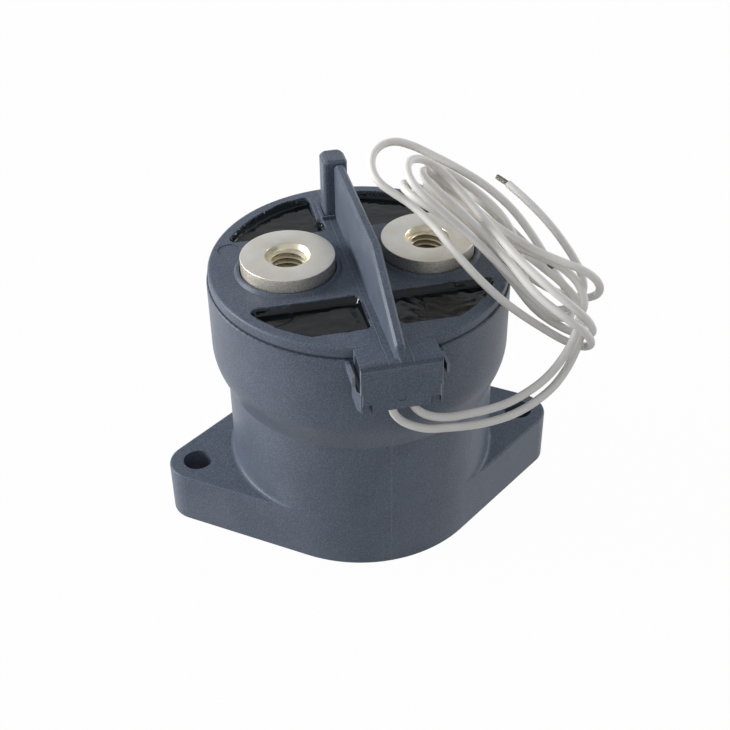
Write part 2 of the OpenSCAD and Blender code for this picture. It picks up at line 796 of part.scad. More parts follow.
module coil_winding() {
    low = cup_floor + bobbin_t + 2 * seat_gap;
    high = plate_z - bobbin_t - 2 * seat_gap;
    color(copper) ring(cup_r - cup_wall - winding_space, winding_in + seat_gap, low, high);
}

module lead_left() {
    color(ivory) translate(lead_place) sweep(left_route, lead_d / 2, lead_sides, [1, 0, 0]);
}

module lead_right() {
    color(ivory) translate(lead_place) sweep(right_route, lead_d / 2, lead_sides, [1, 0, 0]);
}

// Outline of the hank, whose open middle leaves the way to the tapped hole clear
module lead_hank() {
    color(ivory) difference() {
        translate(lead_place + hank_seat) rotate(hank_lean)
            linear_extrude(hank_t) oblong(hank_l - hank_w, hank_w / 2);
        translate([terminal_x, 0, terminal_top]) cylinder(d = tap_d, h = hank_l);
    }
}

module lead_tail() {
    color(ivory) translate(lead_place) sweep(tail_route, lead_d / 2, lead_sides);
}

module lead_strand() {
    color(copper) translate(lead_place) sweep(strand_route, strand_d / 2, lead_sides);
}

housing();
top_cover();
potting_compound();
terminal_left();
terminal_right();
terminal_seals();
fixed_contact_tips();
arc_chamber();
chamber_frame();
exhaust_tube();
blowout_magnets();
contact_bridge();
bridge_tips();
bridge_clip();
contact_spring();
spring_seat();
plunger_shaft();
plunger();
return_spring();
pole_piece();
yoke_plate();
yoke_cup();
guide_sleeve();
coil_bobbin();
coil_winding();
lead_left();
lead_right();
lead_hank();
lead_tail();
lead_strand();
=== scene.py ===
import math

import bpy
from mathutils import Matrix, Vector, noise
from mathutils.bvhtree import BVHTree


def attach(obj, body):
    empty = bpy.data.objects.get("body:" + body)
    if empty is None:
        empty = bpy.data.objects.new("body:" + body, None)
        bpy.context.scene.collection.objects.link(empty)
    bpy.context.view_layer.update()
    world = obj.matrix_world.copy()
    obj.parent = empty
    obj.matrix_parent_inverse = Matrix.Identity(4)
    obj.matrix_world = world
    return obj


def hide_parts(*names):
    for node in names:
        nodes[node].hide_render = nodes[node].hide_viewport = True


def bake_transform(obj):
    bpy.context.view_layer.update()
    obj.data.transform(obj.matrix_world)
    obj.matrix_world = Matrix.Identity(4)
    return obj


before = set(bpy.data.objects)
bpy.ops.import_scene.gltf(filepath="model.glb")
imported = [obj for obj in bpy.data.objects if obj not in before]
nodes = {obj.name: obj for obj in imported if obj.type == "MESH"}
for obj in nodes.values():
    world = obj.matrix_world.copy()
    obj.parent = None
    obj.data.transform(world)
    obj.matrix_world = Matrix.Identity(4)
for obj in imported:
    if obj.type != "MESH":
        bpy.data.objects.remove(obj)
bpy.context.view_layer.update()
MM = 0.001

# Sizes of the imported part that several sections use, in millimetres
cover_joint = 58.5
terminal_top = 64.45
terminal_axis = 15.15
lead_wide = 1.7

# Points closer together than this are one point
weld = 0.002 * MM


# Camera

def photo_camera():
    """The camera of the photo, as it was fitted to points of the part."""
    turn, rise, lean = (math.radians(angle) for angle in (-12.645, 37.035, -0.765))
    target, distance = Vector((1.137, 0, 32.652)), 291.288
    back = Vector((math.sin(turn) * math.cos(rise),
                   -math.cos(turn) * math.cos(rise),
                   math.sin(rise)))
    right = Vector((math.cos(turn), math.sin(turn), 0))
    up = back.cross(right)
    across = math.cos(lean) * right + math.sin(lean) * up
    upright = math.cos(lean) * up - math.sin(lean) * right
    camera = bpy.data.objects.new("photo_camera", bpy.data.cameras.new("photo_camera"))
    bpy.context.scene.collection.objects.link(camera)
    camera.data.lens = 63.67
    camera.data.sensor_width = 36
    camera.data.clip_start = 0.01
    camera.data.clip_end = 50
    place = target + back * distance
    facing = Matrix((across, upright, back)).transposed().to_4x4()
    camera.matrix_world = Matrix.Translation(place * MM) @ facing
    bpy.context.scene.camera = camera


photo_camera()


# Finishes

class Tone:
    """One output of a finish's nodes. Sums with it add Math nodes."""

    def __init__(self, finish, socket):
        self.finish, self.socket = finish, socket

    def sum(self, operation, first, second):
        return self.finish.node("Math", {"operation": operation}, {0: first, 1: second})

    def __add__(self, other):
        return self.sum("ADD", self, other)

    def __sub__(self, other):
        return self.sum("SUBTRACT", self, other)

    def __rsub__(self, other):
        return self.sum("SUBTRACT", other, self)

    def __mul__(self, other):
        return self.sum("MULTIPLY", self, other)

    def __truediv__(self, other):
        return self.sum("DIVIDE", self, other)

    def __pow__(self, other):
        return self.sum("POWER", self, other)

    __radd__ = __add__

    def least(self, other):
        return self.sum("MINIMUM", self, other)

    def size(self):
        return self.sum("ABSOLUTE", self, 0)

    def band(self, low, high):
        return self.finish.node("MapRange", {"interpolation_type": "SMOOTHSTEP"},
                                {"Value": self, "From Min": low, "From Max": high})


class Nodes:
    """A node tree that is filled one node at a time."""

    def __init__(self, tree):
        self.tree = tree

    def node(self, kind, settings, sockets, out=0):
        made = self.tree.nodes.new("ShaderNode" + kind)
        for name, value in settings.items():
            if name == "stops":
                ramp = made.color_ramp
                while len(ramp.elements) < len(value):
                    ramp.elements.new(0.5)
                for stop, (where, shade) in zip(ramp.elements, value):
                    stop.position, stop.color = where, (*shade, 1)
            else:
                setattr(made, name, value)
        for name, value in sockets.items():
            if isinstance(value, Tone):
                self.tree.links.new(value.socket, made.inputs[name])
            else:
                made.inputs[name].default_value = value
        return Tone(self, made.outputs[out])


class Finish(Nodes):
    """A procedural material of this part, read on Object coordinates in metres."""

    def __init__(self, name):
        self.material = bpy.data.materials.new(name)
        self.material.use_nodes = True
        super().__init__(self.material.node_tree)
        self.shader = self.tree.nodes["Principled BSDF"]
        self.place = self.node("TexCoord", {}, {}, "Object")

    def speckle(self, size, detail=2.0, rough=0.5, place=None):
        """Noise with blots of about this size, in millimetres."""
        return self.node("TexNoise", {}, {"Vector": place or self.place, "Scale": 1 / (size * MM),
                                          "Detail": detail, "Roughness": rough})

    def cells(self, size):
        return self.node("TexVoronoi", {}, {"Vector": self.place, "Scale": 1 / (size * MM)})

    def stretched(self, scale, turn=(0, 0, 0)):
        return self.node("Mapping", {}, {"Vector": self.place, "Rotation": turn, "Scale": scale})

    def axes(self):
        split = self.node("SeparateXYZ", {}, {"Vector": self.place})
        return split, *(Tone(self, split.socket.node.outputs[k]) for k in (1, 2))

    def shades(self, amount, *colours):
        stops = [(k / (len(colours) - 1), c) for k, c in enumerate(colours)]
        return self.node("ValToRGB", {"stops": stops}, {"Fac": amount})

    def over(self, amount, under, top):
        """A plain colour laid over another by an amount from 0 to 1."""
        return self.node("Mix", {"data_type": "RGBA"}, {0: amount, 6: under, 7: (*top, 1)}, 2)

    def relief(self, height, depth):
        """A normal for a height from 0 to 1 that stands for a depth in millimetres."""
        return self.node("Bump", {}, {"Height": height, "Distance": depth * MM, "Strength": 1.0})

    def set(self, **sockets):
        """Fills inputs of the shader, an underscore for each space in a name."""
        for name, value in sockets.items():
            socket = self.shader.inputs[name.replace("_", " ")]
            if isinstance(value, Tone):
                self.tree.links.new(value.socket, socket)
            else:
                socket.default_value = value
        return self.material


def shade(red, green, blue):
    """A colour as the eye reads it, 0 to 255, made linear."""
    def linear(value):
        value /= 255
        return value / 12.92 if value <= 0.04045 else ((value + 0.055) / 1.055) ** 2.4
    return linear(red), linear(green), linear(blue)


def within(value, low, high, soft=0.05):
    """1 where the value lies between two limits, fading out beyond them."""
    return value.band(low - soft, low) * (1 - value.band(high, high + soft))


def slate_plastic():
    """Grained and scuffed plastic with painted highlights along edges and mould lines and painted
    shade in gaps, recesses and the cover joint. Limits are in millimetres.
    """
    f = Finish("slate_plastic")
    x, y, z = f.axes()
    grain = f.speckle(0.26, 2, 0.6)
    pores = f.cells(0.5)
    cloud = f.speckle(9, 3)
    scratch = f.stretched((0.16, 1.6, 1.0), (0.3, 0.2, 0.9))
    scuff = f.speckle(1, 4, 0.7, scratch).band(0.63, 0.75)
    tint = f.shades(cloud.band(0.32, 0.68), shade(84, 92, 106), shade(92, 100, 114))
    tint = f.over(grain.band(0.5, 0.68) * 0.46, tint, shade(130, 137, 150))
    tint = f.over(grain.band(0.5, 0.32) * 0.44, tint, shade(52, 59, 72))
    tint = f.over(scuff * 0.14, tint, shade(136, 141, 149))
    across, depth, height = x.size() / MM, y / MM, z / MM
    from_axis = (x ** 2 + y ** 2) ** 0.5 / MM
    front = -99
    face = within(depth, front, -37.3)
    low_face = within(depth, front, -37.45)

    # Painted highlights: lighter lines on the flash and parting ridges (the ridges are real, their
    # lightness is painted), down the hood's corners, along its front edge and round the cheeks'
    # edges
    flash = within(across, 2.42, 2.48, 0.1) * height.band(60.3, 60.7)
    parting = within(across, -1, 0.04, 0.08) * within(height, -1, 36, 1) \
        * within(depth, front, -1, 1)
    hood_corner = within(across, 8.08, 8.3) * within(height, 54.4, 60.2) * face \
        + within(across, 7.74, 7.96) * within(height, 0, 54.4) * low_face
    hood_line = within(across, 0, 8) * within(height, 59.62, 59.72) * face
    cheek_top = within(height, 58.4, 58.6) * within(depth, -36.7, -32.6)
    cheek_front = within(height, 56.2, 58.6) * within(depth, -37.2, -36.75)
    cheek_edge = within(across, 9.02, 9.74) * (cheek_top + cheek_front)
    painted_highlight = flash * 0.35 + parting * 0.25 + hood_corner * 0.8 \
        + hood_line * 0.3 + cheek_edge * 0.5
    tint = f.over(painted_highlight.least(1), tint, shade(146, 152, 162))

    # Painted shade: dark in the joint under the cover's rim, in the slots beside the hood, in and
    # round the tab recesses and on the hood's rounded front edge
    joint = within(height, 58.39, 58.71, 0.16) * within(from_axis, 31.95, 32.6, 0.15)
    cheek_gap = within(across, 8.18, 9.06, 0.03) * within(height, 54.4, 60.8) \
        * within(depth, -36.8, -32.6)
    tab = within(across, 6.1, 7.9) * within(height, 49, 51.56) * within(depth, -37.5, -36.92, 0.04)
    tab_side = within(across, 5.92, 6.1) * within(height, 49, 51.7)
    tab_top = within(across, 5.92, 7.8) * within(height, 51.52, 51.7)
    tab_edge = low_face * (tab_side + tab_top)
    hood_turn = within(height, 59.95, 60.5, 0.2) * within(depth, front, -36.6) \
        * within(across, 0, 8)
    painted_shade = joint * 0.75 + cheek_gap * 0.95 + tab * 0.8 + tab_edge * 0.8 + hood_turn * 0.3
    tint = f.over(painted_shade.least(1), tint, shade(30, 34, 42))
    return f.set(Base_Color=tint, Specular_IOR_Level=0.3,
                 Roughness=0.36 + grain * 0.14 - scuff * 0.08,
                 Normal=f.relief(grain * 0.8 + pores * 0.35 + flash * 2, 0.022))


def black_resin():
    f = Finish("black_resin")
    haze = f.speckle(5, 3)
    dust = f.speckle(0.22, 2, 0.7).band(0.70, 0.78)
    tint = f.over(dust * 0.3, (*shade(10, 16, 19), 1), shade(64, 70, 75))
    return f.set(Base_Color=tint, Roughness=0.05 + haze * 0.06 + dust * 0.2,
                 Normal=f.relief(haze, 0.05))


def plated_terminal():
    """Plating that is dull and pitted round the side, golden where the hole is cut and made lighter
    there as a painted highlight.
    """
    f = Finish("plated_terminal")
    x, y, _ = f.axes()
    grain = f.speckle(0.3, 3, 0.6)
    stain = f.speckle(5, 4)
    from_axis = ((x.size() / MM - terminal_axis) ** 2 + (y / MM) ** 2) ** 0.5
    cut = 1 - from_axis.band(4.82, 4.9)
    tint = f.shades(stain.band(0.35, 0.7), shade(248, 241, 228), shade(253, 249, 241))
    # The cut hole's golden tint is its own colour; its extra lightness is painted light standing in
    # for the lit threads
    tint = f.over(cut * 0.8, tint, shade(252, 242, 214))
    side = from_axis.band(9.93, 9.985)
    coarse = f.speckle(0.24, 3, 0.7)
    tint = f.over(side * (0.25 + coarse.band(0.4, 0.65) * 0.5), tint, shade(150, 144, 132))
    return f.set(Base_Color=tint, Metallic=1.0,
                 Roughness=0.36 + grain * 0.16 + stain * 0.06 - cut * 0.14,
                 Normal=f.relief(grain + side * coarse * 2, 0.014))


def metal(name, dark, light, rough, size=0.3, depth=0.01, lines=None):
    f = Finish(name)
    grain = f.speckle(size, 3, 0.6, f.stretched(lines) if lines else None)
    stain = f.speckle(4, 4)
    tint = f.shades(stain.band(0.3, 0.7), dark, light)
    return f.set(Base_Color=tint, Metallic=1.0,
                 Roughness=rough - 0.08 + grain * 0.12 + stain * 0.06,
                 Normal=f.relief(grain, depth))


def dull(name, dark, light, rough):
    f = Finish(name)
    grain = f.speckle(0.4, 3, 0.6)
    cloud = f.speckle(6, 3)
    tint = f.shades(cloud.band(0.3, 0.7), dark, light)
    return f.set(Base_Color=tint, Roughness=rough - 0.06 + grain * 0.12,
                 Normal=f.relief(grain, 0.02))


def enamelled_copper():
    f = Finish("enamelled_copper")
    _, _, z = f.axes()
    half_wire = 0.16 * MM
    round_wire = f.node("Math", {"operation": "PINGPONG"}, {0: z, 1: half_wire}) / half_wire
    stain = f.speckle(3, 3)
    tint = f.shades(stain, shade(120, 52, 26), shade(176, 92, 48))
    return f.set(Base_Color=tint, Metallic=0.7, Roughness=0.28 + stain * 0.1,
                 Normal=f.relief(round_wire, 0.12))


def lead_insulation():
    f = Finish("lead_insulation")
    smear = f.speckle(7, 4)
    fine = f.speckle(0.35, 3, 0.6)
    tint = f.shades(smear.band(0.3, 0.75), shade(229, 225, 219), shade(238, 234, 229))
    tint = f.over(fine.band(0.62, 0.8) * 0.3, tint, shade(198, 193, 185))
    return f.set(Base_Color=tint, Roughness=0.46 + fine * 0.12 + smear * 0.06,
                 Normal=f.relief(fine * 0.5 + smear, 0.02))


def tinned_strand():
    f = Finish("tinned_strand")
    stain = f.speckle(0.8, 3)
    tint = f.shades(stain, shade(120, 117, 111), shade(154, 150, 143))
    return f.set(Base_Color=tint, Metallic=1.0, Roughness=0.48 + stain * 0.15,
                 Normal=f.relief(stain, 0.02))


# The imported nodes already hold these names, so Blender puts a number after each new one
finishes = {made.name.split(".")[0]: made for made in (
    slate_plastic(),
    black_resin(),
    plated_terminal(),
    metal("seal_alloy", shade(168, 164, 156), shade(188, 184, 176), 0.36),
    metal("contact_silver", shade(198, 198, 196), shade(222, 222, 220), 0.3),
    dull("white_ceramic", shade(226, 222, 214), shade(238, 235, 229), 0.42),
    metal("bare_copper", shade(178, 104, 70), shade(206, 132, 94), 0.32, lines=(0.2, 1.5, 1.5)),
    metal("magnet", shade(120, 122, 124), shade(150, 152, 154), 0.45),
    metal("spring_steel", shade(138, 140, 144), shade(170, 172, 176), 0.3),
    metal("bright_steel", shade(176, 178, 180), shade(204, 206, 208), 0.22, lines=(1, 1, 0.15)),
    metal("soft_iron", shade(124, 124, 122), shade(156, 156, 152), 0.45, 0.5, 0.02),
    dull("black_plastic", shade(24, 24, 26), shade(34, 34, 36), 0.5),
    enamelled_copper(),
    lead_insulation(),
    tinned_strand(),
)}
for node in nodes.values():
    for held in node.material_slots:
        held.material = finishes[held.material.name.split(".")[0]]


# Leads

# Paths of the two leads out of the hood, from this place, in millimetres
lead_place = Vector((25.15, -37.6, 64.45))
left_route = [(-26.6, 6.3, -9.4), (-26.6, 5.1, -9.7), (-26.6, 3.8, -10.6), (-26.6, 2.9, -11.9),
              (-26.6, 2.6, -13.4), (-26.6, 2.6, -15.4), (-26.1, 2.3, -17.6), (-24.6, 1.8, -19.4),
              (-22.6, 1.1, -20.4), (-20.1, 0.6, -21.2), (-15.6, 0, -21.4), (-11.1, -0.4, -21.4),
              (-6.6, -0.4, -21.2), (-1.6, 0, -20.4), (3.4, 0.8, -18.4), (6.9, 2, -16.6),
              (9.4, 3.4, -14.8), (11.4, 4.8, -12.8), (13.4, 6.8, -10.4), (14.9, 9.1, -8.4)]
right_route = [(-22.4, 6.3, -9.4), (-22.4, 5.1, -9.7), (-22.4, 3.8, -10.6), (-22.4, 2.9, -11.9),
               (-22.4, 2.6, -13.4), (-22.4, 2.6, -15.2), (-21.8, 2.4, -16.9), (-20.4, 2, -18.3),
               (-18.1, 1.4, -19.2), (-15.1, 0.7, -19.3), (-11.6, 0.3, -18.9), (-8.1, 0.1, -18.5),
               (-3.1, 0.3, -17.6), (0.9, 0.9, -16.2), (4.4, 1.8, -14.6), (7.1, 2.8, -12.8),
               (9.5, 4.1, -10.8), (11.5, 5.6, -8.8), (13.1, 7.4, -6.9), (14.4, 9.6, -5.4)]
tail_route = [(18.4, 20.1, -3.4), (17.9, 24.1, -1.4), (16.7, 28.1, 0.6), (14.9, 34.1, 2.6),
              (12.3, 40.1, 4.6), (10.1, 45.1, 5.8)]

# The hank's own axes: along its runs, across them, and out of its face
hank_middle = Vector((26.0, -12.04, 69.31))
hank_axes = Matrix(((0.6935, -0.5038, -0.5150),
                    (0.4883, 0.8543, -0.1782),
                    (0.5298, -0.1279, 0.8384))).transposed()

left_runs = [
    [(23.8, -3.2, -0.6), (21.7, -0.7, 0.2), (17, 3, 0), (12.4, 5.4, -0.8), (6.1, 7.6, -1.7),
     (-1.1, 9.5, -2.3), (-7.4, 10.8, -2.5), (-11.4, 11.1, -2.4)],
    [(-12.4, 0.1, -1.2), (-7.9, 0.2, -1.6), (0.7, 2.3, -2.8), (7.3, 4.1, -3.7), (14.9, 5.8, -4),
     (18.1, 6.2, -3.5)],
    [(16.8, -0.9, 6.4), (14.3, -1.1, 5.7), (8.2, -0.2, 3.6), (1.9, 1.8, 1.9), (-4.5, 4.3, 0.7),
     (-10.2, 6.5, 0.1), (-13.7, 7.2, 0)],
    [(-15.3, -3.2, 2.1), (-9.6, -3, 1.6), (-4.3, -2.4, 0.7), (3.9, -3.7, -0.2), (13.9, -9.9, 0.1),
     (20.9, -11.3, 0.7)],
    [(21.5, -2.1, -8.1), (18.6, -2.8, -8.1), (13.2, -5.9, -7.1), (8, -8.6, -5.9), (1, -9.1, -4.9),
     (-6, -6.8, -4.4), (-11.8, -3.9, -4.2), (-18.7, -1.9, -4.5), (-22.3, -1.7, -4.9)],
    [(-25.3, 9.3, 1.3), (-21.4, 9.7, 2.1), (-14.5, 10, 3.3), (-7.7, 10, 4), (-0.8, 9.6, 3.7),
     (6.3, 8.4, 2.2), (11.6, 7.2, 0.5)]]
left_turns = [(-18, 6, -1.6), (23.9, 3.5, 3), (-20.1, 2.7, 1.1), (28.2, -6.2, -3.2),
              (-30.4, 3.1, -3)]
right_runs = [
    [(22.4, -4.2, 1.8), (20, -1.8, 3.5), (12.3, 1.2, 3.2), (9.3, 1.5, 2.3), (2.2, 2.2, 0),
     (-3.6, 3.5, -1.4), (-9.4, 5.2, -2.4), (-13.4, 6, -3.1), (-16, 6, -3.4)],
    [(-15.5, -5, -1.2), (-11.4, -4.5, -1), (-6, -3.3, -1.3), (0.8, -2.3, -2.4), (7.5, -1.7, -4.1),
     (17.1, -0.5, -6.8)],
    [(20.8, -9.7, 2.7), (15, -9.7, 2.9), (6.6, -6.8, 2.5), (-1.3, -2.3, 2.3), (-8.4, 1.9, 2.2),
     (-15.6, 4.7, 2.6), (-17.6, 4.9, 2.7)],
    [(-16.9, -6.4, 0.9), (-12.4, -6.1, 0.5), (-4.7, -4.8, -0.6), (3.3, -4, -2.1),
     (12.4, -3.9, -3.3), (16.5, -3.4, -3.9)],
    [(11.6, 11.6, -2.1), (6.2, 11.4, -1.4), (-2.6, 12.8, -0.9), (-8.9, 14.9, -1.4),
     (-12.1, 15.7, -1.9), (-15, 15.8, -2.3)],
    [(-14.9, 6.6, 2.7), (-12.8, 6.7, 2.9), (-7.2, 7.2, 2.8), (-2.2, 6.9, 2.3), (3.5, 5.2, 0.6),
     (8.3, 3, -2.4), (13.1, 1.5, -5.4), (19.8, 1.2, -4.4), (21.6, 2.3, -1), (21.1, 3.8, 1.5)]]
right_turns = [(-21.7, 0.2, -2.9), (26.8, -3.7, -2.8), (-23.4, -0.9, 2.1), (22.3, 5.7, -4.2),
               (-20.3, 10.9, -0.4)]


def wound(runs, turns):
    """Points of a lead's hank: each run, then the half turn over an outer point into the next."""
    points, parts = [], 6
    for k, run in enumerate(runs):
        points += [Vector(p) for p in run]
        if k < len(turns):
            start, end = Vector(run[-1]), Vector(runs[k + 1][0])
            middle, half = (start + end) / 2, (start - end) / 2
            bulge = Vector(turns[k]) - middle
            for step in range(1, parts):
                angle = math.pi * step / parts
                points.append(middle + half * math.cos(angle) + bulge * math.sin(angle))
    return [hank_middle + hank_axes @ p for p in points]


def laid(route):
    return [lead_place + Vector(p) for p in route]


def lead(name, points):
    """A round cord on one open spline, smooth through its points, which are in millimetres."""
    points = [p * MM for p in points]
    curve = bpy.data.curves.new(name, "CURVE")
    curve.dimensions = "3D"
    curve.bevel_depth = lead_wide / 2 * MM
    curve.bevel_resolution = 5
    curve.resolution_u = 5
    curve.use_fill_caps = True
    spline = curve.splines.new("BEZIER")
    spline.bezier_points.add(len(points) - 1)
    steps = [b - a for a, b in zip(points, points[1:])]
    for k, (knot, point) in enumerate(zip(spline.bezier_points, points)):
        before, after = steps[max(k - 1, 0)], steps[min(k, len(steps) - 1)]
        along = before.normalized() * after.length + after.normalized() * before.length
        along.normalize()
        knot.handle_left_type = knot.handle_right_type = "FREE"
        knot.co = point
        knot.handle_left = point - along * before.length / 3
        knot.handle_right = point + along * after.length / 3
    made = bpy.data.objects.new(name, curve)
    bpy.context.scene.collection.objects.link(made)
    curve.materials.append(finishes["lead_insulation"])
    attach(made, "casing")
    return made


# Modelling with Blender's operators

def pick_nothing():
    bpy.ops.object.select_all(action="DESELECT")


def pick(made):
    pick_nothing()
    made.select_set(True)
    bpy.context.view_layer.objects.active = made


def apply_place():
    bpy.ops.object.transform_apply(location=True, rotation=True, scale=True)


def named(name):
    """The object that was just added, under its own name."""
    made = bpy.context.object
    made.name = made.data.name = name
    return made


def editing(made):
    """Starts an edit with all of the mesh picked."""
    pick(made)
    bpy.ops.object.mode_set(mode="EDIT")
    bpy.ops.mesh.select_all(action="SELECT")


def outward():
    """Turns every face out and ends the edit."""
    bpy.ops.mesh.select_all(action="SELECT")
    bpy.ops.mesh.normals_make_consistent(inside=False)
    bpy.ops.object.mode_set(mode="OBJECT")


def settled(made, finish):
    """Puts the place into the mesh and sets the finish and the body."""
    pick(made)
    apply_place()
    made.data.materials.clear()
    made.data.materials.append(finishes[finish])
    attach(made, "casing")


def turned(name, axis, outline, sides):
    """A ring at the outline's first radius and height, extruded along the rest and back to it."""
    pick_nothing()
    (radius, height), rest = outline[0], outline[1:] + outline[:1]
    bpy.ops.mesh.primitive_circle_add(vertices=sides, radius=radius * MM,
                                      location=(axis.x * MM, axis.y * MM, height * MM))
    made = named(name)
    bpy.ops.object.mode_set(mode="EDIT")
    bpy.ops.mesh.select_all(action="SELECT")
    for wider, higher in rest:
        rise = (0, 0, (higher - height) * MM)
        bpy.ops.mesh.extrude_edges_move(TRANSFORM_OT_translate={"value": rise})
        bpy.ops.transform.resize(value=(wider / radius, wider / radius, 1),
                                 center_override=(axis.x * MM, axis.y * MM, higher * MM))
        radius, height = wider, higher
    bpy.ops.mesh.select_all(action="SELECT")
    bpy.ops.mesh.remove_doubles(threshold=weld)
    outward()
    return made


def bare_end(name, foot, aim, bare):
    """The stripped end of a lead: wires on a lay, a lobed ring extruded and turned in steps."""
    wires, points_each, radius = 6, 8, 0.6
    steps, lay = 12, math.radians(16)
    waist, swell = 0.74, 0.26
    pick_nothing()
    bpy.ops.mesh.primitive_circle_add(vertices=wires * points_each, radius=radius * MM)
    made = named(name)
    for k, point in enumerate(made.data.vertices):
        point.co *= waist + swell * math.sqrt(abs(math.cos(math.pi * k / points_each)))
    editing(made)
    bpy.ops.mesh.edge_face_add()
    for k in range(steps):
        rise = (0, 0, bare / steps * MM)
        bpy.ops.mesh.extrude_region_move(TRANSFORM_OT_translate={"value": rise})
        bpy.ops.transform.rotate(value=lay, orient_axis="Z", center_override=(0, 0, 0))
    outward()
    bpy.ops.object.shade_smooth_by_angle(angle=math.radians(50))
    facing = aim.to_track_quat("Z", "Y").to_matrix().to_4x4()
    made.matrix_world = Matrix.Translation(foot * MM) @ facing
    settled(made, "tinned_strand")
    return made


left_path = laid(left_route) + wound(left_runs, left_turns)
right_path = laid(right_route) + wound(right_runs, right_turns) + laid(tail_route)
left_lead = lead("left_lead", left_path)
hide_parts("lead_left", "lead_hank")
left_end = bare_end("left_bare_end", left_path[-1], left_path[-1] - left_path[-2], 2.4)
left_path[0] * MM
right_lead = lead("right_lead", right_path)
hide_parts("lead_right", "lead_tail")
right_end = bare_end("right_bare_end", right_path[-1], Vector((-1.6, 3.0, 0.4)), 3.4)
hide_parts("lead_strand")
right_path[0] * MM


# Mouldings

def outer_edges(mesh, width):
    """Edges where two faces that are wider than the rounding meet at an outer corner.

    Edges at the joint of the cover and the housing stay sharp, so that the joint stays shut.
    """
    sharp, least_room, near_joint = math.radians(48), 1.3 * width * MM, 0.7
    sides = {}
    for face in mesh.polygons:
        corners = list(face.vertices)
        for first, second in zip(corners, corners[1:] + corners[:1]):
            sides.setdefault(tuple(sorted((first, second))), []).append((face, first, second))
    for edge in mesh.edges:
        (face, first, second), (other, _, _) = sides[tuple(sorted(edge.vertices))]
        along = mesh.vertices[second].co - mesh.vertices[first].co
        room = min(face.area, other.area) / along.length
        at_joint = all(abs(mesh.vertices[k].co.z / MM - cover_joint) < near_joint
                       for k in edge.vertices)
        outer = face.normal.cross(other.normal).dot(along) > 0
        if outer and room > least_room and not at_joint \
                and face.normal.angle(other.normal) > sharp:
            yield edge.index


def copied(name, label):
    """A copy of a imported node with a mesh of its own, riding on no body yet."""
    made = nodes[name].copy()
    made.data = nodes[name].data.copy()
    made.name = made.data.name = label
    made.parent = None
    bpy.context.scene.collection.objects.link(made)
    return made


def eased(name, width):
    """A merged copy of a moulding, with its sharp outer edges rounded as they leave the mould."""
    level, smooth = math.radians(0.04), math.radians(35)
    made = copied(name, name + "_eased")
    editing(made)
    bpy.ops.mesh.customdata_custom_splitnormals_clear()
    bpy.ops.mesh.remove_doubles(threshold=weld)
    bpy.ops.mesh.dissolve_limited(angle_limit=level)
    outward()
    weight = made.data.attributes.new("bevel_weight_edge", "FLOAT", "EDGE")
    for k in outer_edges(made.data, width):
        weight.data[k].value = 1
    ease = made.modifiers.new("ease", "BEVEL")
    ease.width, ease.segments, ease.limit_method = width * MM, 2, "WEIGHT"
    ease.use_clamp_overlap = False
    bpy.ops.object.modifier_apply(modifier="ease")
    bpy.ops.object.shade_smooth_by_angle(angle=smooth)
    flat = made.modifiers.new("flat", "WEIGHTED_NORMAL")
    flat.keep_sharp = True
    bpy.ops.object.modifier_apply(modifier="flat")
    settled(made, "slate_plastic")
    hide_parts(name)
    return made


def sprung(name):
    """A copy of a coil spring with its place put into its mesh, shown in place of the imported
    spring.
    """
    made = copied(name, name + "_coil")
    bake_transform(made)
    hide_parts(name)


cover = eased("top_cover", 0.16)
sprung("return_spring")
sprung("contact_spring")


# Terminals

tap_floor = terminal_top - 11.5


def thread(axis):
    """The tooth of a coarse 8 mm thread: a flat-topped section wound up the hole to its mouth."""
    pick_nothing()
    pitch, crest, root = 1.25, 3.42, 4.12
    half_crest, half_root = 0.10, 0.56
    windings, first_turn, mouth = 8, tap_floor + 0.7, terminal_top - 1.35
    bpy.ops.mesh.primitive_plane_add(size=1 * MM, location=(0, 0, 0), rotation=(math.pi / 2, 0, 0))
    made = bpy.context.object
    apply_place()
    for corner in made.data.vertices:
        inner = corner.co.x < 0
        half = half_crest if inner else half_root
        corner.co = Vector((crest if inner else root, 0, half if corner.co.z > 0 else -half)) * MM
    editing(made)
    bpy.ops.mesh.delete(type="ONLY_FACE")
    bpy.ops.object.mode_set(mode="OBJECT")
    winding = made.modifiers.new("winding", "SCREW")
    winding.angle = 2 * math.pi
    winding.screw_offset = pitch * MM
    winding.iterations = windings
    winding.steps = winding.render_steps = 72
    winding.use_merge_vertices = True
    bpy.ops.object.modifier_apply(modifier="winding")
    made.location = Vector((axis.x, axis.y, first_turn)) * MM
    apply_place()
    editing(made)
    bpy.ops.mesh.bisect(plane_co=(0, 0, mouth * MM), plane_no=(0, 0, 1),
                        use_fill=True, clear_outer=True)
    bpy.ops.mesh.select_all(action="SELECT")
    bpy.ops.mesh.fill_holes(sides=8)
    outward()
    return made


def terminal(name, side):
    """A terminal disc on its stem, with the hole's mouth, the thread and the drilled floor."""
    axis = Vector((side * terminal_axis, 0, 0))
    foot, shoulder, stem, disc, drilled = 48.55, 57.45, 5.4, 10, 4.05
    mouth = [(drilled, 1.5), (4.1, 1.2), (4.28, 0.85), (4.52, 0.45), (4.7, 0.12), (4.8, 0.03),
             (4.92, 0), (9.8, 0), (9.9, 0.03), (9.97, 0.1), (disc, 0.2)]
    outline = [(radius, terminal_top - drop) for radius, drop in mouth]
    outline += [(disc, shoulder), (stem, shoulder), (stem, foot), (0.4, foot),
                (0.4, tap_floor - 1.4), (3.3, tap_floor), (drilled, tap_floor + 0.2)]
    made = turned(name, axis, outline, 128)
    tooth = thread(axis)
    pick(made)
    tooth.select_set(True)
    bpy.ops.object.join()
    bpy.ops.object.shade_smooth_by_angle(angle=math.radians(28))
    settled(made, "plated_terminal")
    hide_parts("terminal_left" if side < 0 else "terminal_right")


terminal("left_terminal", -1)
terminal("right_terminal", 1)


# Potting

